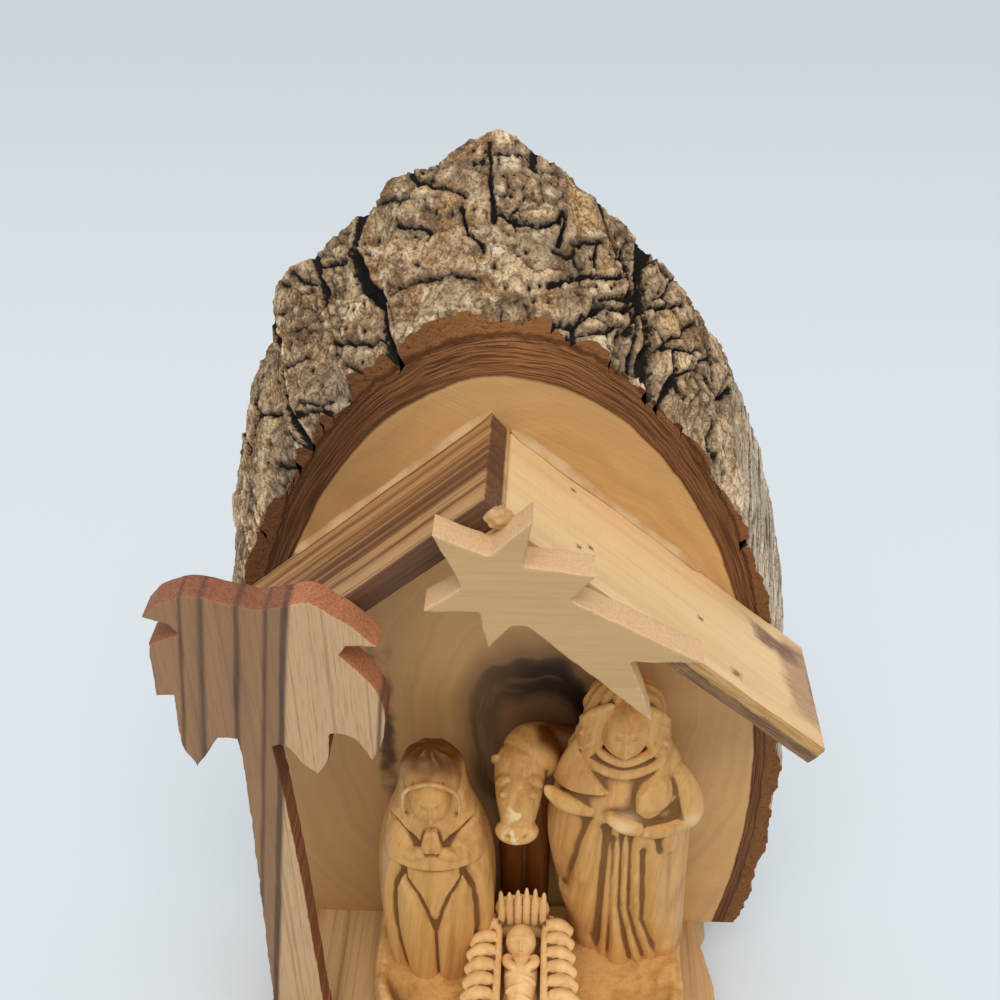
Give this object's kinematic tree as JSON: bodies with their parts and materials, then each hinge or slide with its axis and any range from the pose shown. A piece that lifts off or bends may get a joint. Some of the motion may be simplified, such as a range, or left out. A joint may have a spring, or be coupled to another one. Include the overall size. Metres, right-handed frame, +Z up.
{
  "type": "wooden nativity stable",
  "caption": "Pitched-roof stable on a plank base, backed by a bark-edged log slice, with a fret-sawn star and palm and a carved figure group; stands on a shelf as a seasonal decoration.",
  "frame": {"origin": "on the flat underside of the base board, below the middle of the log slice", "axes": "+X to the right seen from the front, +Y to the back, +Z up"},
  "size_m": [0.0914, 0.053, 0.1499],
  "materials": {
    "base_wood": "sawn, natural edges",
    "slab_wood": "sanded, oiled",
    "inner_bark": "sawn, fibrous",
    "cork_bark": "rough, furrowed",
    "striped_wood": "sanded, dark stripes",
    "pale_wood": "sanded, pale",
    "star_wood": "sawn, pale",
    "palm_wood": "sawn, dark stripes",
    "carved_wood": "carved, polished",
    "glue": "translucent"
  },
  "bodies": {
    "root": {"base_board": "base_wood", "slab_wood": "slab_wood", "slab_inner_bark": "inner_bark", "slab_bark": "cork_bark", "roof_board_left": "striped_wood", "roof_board_right": "pale_wood", "comet_star": "star_wood", "palm_tree": "palm_wood", "figure_plinth": "carved_wood", "kneeling_mother": "carved_wood", "standing_father": "carved_wood", "ox": "carved_wood", "manger": "carved_wood", "infant": "carved_wood", "ridge_glue": "glue", "roof_glue_left": "glue", "roof_glue_right": "glue", "star_glue": "glue"}
  },
  "joints": []
}
